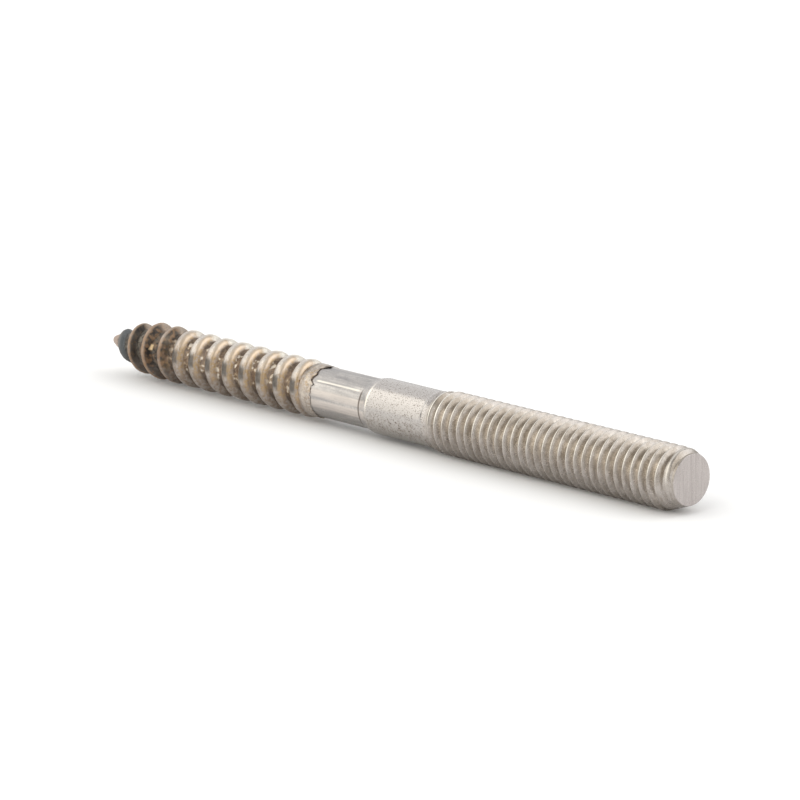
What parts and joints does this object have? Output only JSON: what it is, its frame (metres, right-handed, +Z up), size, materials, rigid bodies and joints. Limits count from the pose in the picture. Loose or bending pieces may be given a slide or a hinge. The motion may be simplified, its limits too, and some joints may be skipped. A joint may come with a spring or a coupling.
{
  "type": "hanger bolt",
  "caption": "Headless steel stud with a coarse pointed wood thread at one end, a bare stepped shank and a machine thread with a flat cropped end, for hanging things from timber.",
  "frame": {"origin": "half way along the bolt, under its axis, on the surface it lies on", "axes": "+X along the bolt towards the machine thread's flat end, +Z up"},
  "size_m": [0.1244, 0.0094, 0.0094],
  "materials": {
    "steel": "rolled and tumbled, satin, stained brown in the wood thread and dark at the point"
  },
  "bodies": {
    "root": {"hanger_bolt": "steel"}
  },
  "joints": []
}
